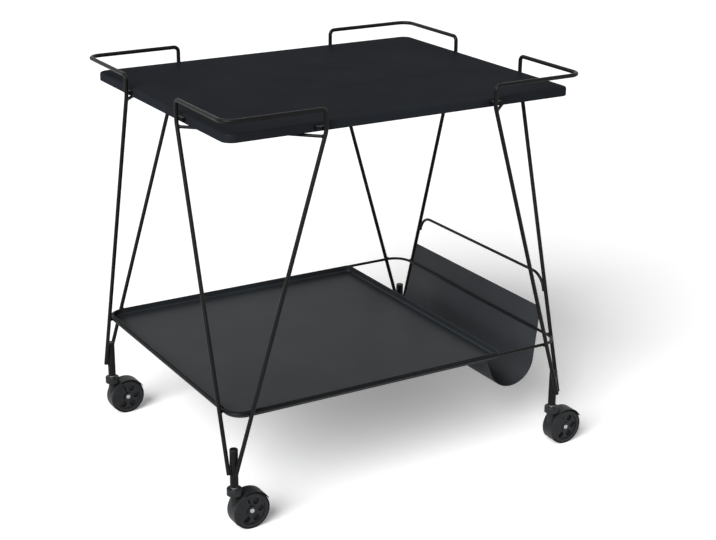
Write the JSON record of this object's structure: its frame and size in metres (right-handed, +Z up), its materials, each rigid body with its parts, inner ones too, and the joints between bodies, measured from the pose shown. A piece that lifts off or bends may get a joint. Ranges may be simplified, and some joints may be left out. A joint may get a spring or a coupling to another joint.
{
  "type": "serving cart",
  "caption": "Wire-framed serving cart on swivelling casters, with raised corner handles, a flat upper tray, a lipped lower tray and a trough-shaped magazine rack at one end.",
  "frame": {"origin": "on the floor, in the middle of the bounding box with all casters trailing to the right", "axes": "+X along the cart's long side towards the magazine rack, +Y from the front to the back, +Z up"},
  "size_m": [0.8194, 0.622, 0.789],
  "materials": {
    "powder_coated_steel": "satin",
    "caster_nylon": "satin",
    "tread_rubber": "matte",
    "bright_steel": "satin"
  },
  "bodies": {
    "frame": {"top_tray": "powder_coated_steel", "lower_tray": "powder_coated_steel", "lower_ring": "powder_coated_steel", "magazine_rack": "powder_coated_steel", "rack_rail": "powder_coated_steel", "tray_lugs": "powder_coated_steel", "tray_screws": "powder_coated_steel", "leg_front_left": "powder_coated_steel", "brace_front_left": "powder_coated_steel", "socket_front_left": "powder_coated_steel", "socket_plug_front_left": "caster_nylon", "caster_stem_front_left": "bright_steel", "leg_front_right": "powder_coated_steel", "brace_front_right": "powder_coated_steel", "socket_front_right": "powder_coated_steel", "socket_plug_front_right": "caster_nylon", "caster_stem_front_right": "bright_steel", "leg_back_left": "powder_coated_steel", "brace_back_left": "powder_coated_steel", "socket_back_left": "powder_coated_steel", "socket_plug_back_left": "caster_nylon", "caster_stem_back_left": "bright_steel", "leg_back_right": "powder_coated_steel", "brace_back_right": "powder_coated_steel", "socket_back_right": "powder_coated_steel", "socket_plug_back_right": "caster_nylon", "caster_stem_back_right": "bright_steel"},
    "caster_front_left": {"caster_hood_front_left": "caster_nylon", "caster_axle_front_left": "bright_steel"},
    "wheel_outer_front_left": {"wheel_outer_front_left": "caster_nylon", "tread_outer_front_left": "tread_rubber", "hub_cap_outer_front_left": "bright_steel"},
    "wheel_inner_front_left": {"wheel_inner_front_left": "caster_nylon", "tread_inner_front_left": "tread_rubber", "hub_cap_inner_front_left": "bright_steel"},
    "caster_front_right": {"caster_hood_front_right": "caster_nylon", "caster_axle_front_right": "bright_steel"},
    "wheel_outer_front_right": {"wheel_outer_front_right": "caster_nylon", "tread_outer_front_right": "tread_rubber", "hub_cap_outer_front_right": "bright_steel"},
    "wheel_inner_front_right": {"wheel_inner_front_right": "caster_nylon", "tread_inner_front_right": "tread_rubber", "hub_cap_inner_front_right": "bright_steel"},
    "caster_back_left": {"caster_hood_back_left": "caster_nylon", "caster_axle_back_left": "bright_steel"},
    "wheel_outer_back_left": {"wheel_outer_back_left": "caster_nylon", "tread_outer_back_left": "tread_rubber", "hub_cap_outer_back_left": "bright_steel"},
    "wheel_inner_back_left": {"wheel_inner_back_left": "caster_nylon", "tread_inner_back_left": "tread_rubber", "hub_cap_inner_back_left": "bright_steel"},
    "caster_back_right": {"caster_hood_back_right": "caster_nylon", "caster_axle_back_right": "bright_steel"},
    "wheel_outer_back_right": {"wheel_outer_back_right": "caster_nylon", "tread_outer_back_right": "tread_rubber", "hub_cap_outer_back_right": "bright_steel"},
    "wheel_inner_back_right": {"wheel_inner_back_right": "caster_nylon", "tread_inner_back_right": "tread_rubber", "hub_cap_inner_back_right": "bright_steel"}
  },
  "joints": [
    {"name": "swivel_front_left", "type": "hinge", "parent": "frame", "child": "caster_front_left", "pos_m": [-0.39167, -0.29295, 0.08], "axis": [0, 0, 1], "continuous": true},
    {"name": "roll_outer_front_left", "type": "hinge", "parent": "caster_front_left", "child": "wheel_outer_front_left", "pos_m": [-0.36168, -0.29295, 0.0375], "axis": [0, 1, 0], "continuous": true},
    {"name": "roll_inner_front_left", "type": "hinge", "parent": "caster_front_left", "child": "wheel_inner_front_left", "pos_m": [-0.36168, -0.29295, 0.0375], "axis": [0, 1, 0], "continuous": true},
    {"name": "swivel_front_right", "type": "hinge", "parent": "frame", "child": "caster_front_right", "pos_m": [0.34223, -0.29295, 0.08], "axis": [0, 0, 1], "continuous": true},
    {"name": "roll_outer_front_right", "type": "hinge", "parent": "caster_front_right", "child": "wheel_outer_front_right", "pos_m": [0.37222, -0.29295, 0.0375], "axis": [0, 1, 0], "continuous": true},
    {"name": "roll_inner_front_right", "type": "hinge", "parent": "caster_front_right", "child": "wheel_inner_front_right", "pos_m": [0.37222, -0.29295, 0.0375], "axis": [0, 1, 0], "continuous": true},
    {"name": "swivel_back_left", "type": "hinge", "parent": "frame", "child": "caster_back_left", "pos_m": [-0.39167, 0.29295, 0.08], "axis": [0, 0, 1], "continuous": true},
    {"name": "roll_outer_back_left", "type": "hinge", "parent": "caster_back_left", "child": "wheel_outer_back_left", "pos_m": [-0.36168, 0.29295, 0.0375], "axis": [0, 1, 0], "continuous": true},
    {"name": "roll_inner_back_left", "type": "hinge", "parent": "caster_back_left", "child": "wheel_inner_back_left", "pos_m": [-0.36168, 0.29295, 0.0375], "axis": [0, 1, 0], "continuous": true},
    {"name": "swivel_back_right", "type": "hinge", "parent": "frame", "child": "caster_back_right", "pos_m": [0.34223, 0.29295, 0.08], "axis": [0, 0, 1], "continuous": true},
    {"name": "roll_outer_back_right", "type": "hinge", "parent": "caster_back_right", "child": "wheel_outer_back_right", "pos_m": [0.37222, 0.29295, 0.0375], "axis": [0, 1, 0], "continuous": true},
    {"name": "roll_inner_back_right", "type": "hinge", "parent": "caster_back_right", "child": "wheel_inner_back_right", "pos_m": [0.37222, 0.29295, 0.0375], "axis": [0, 1, 0], "continuous": true}
  ]
}
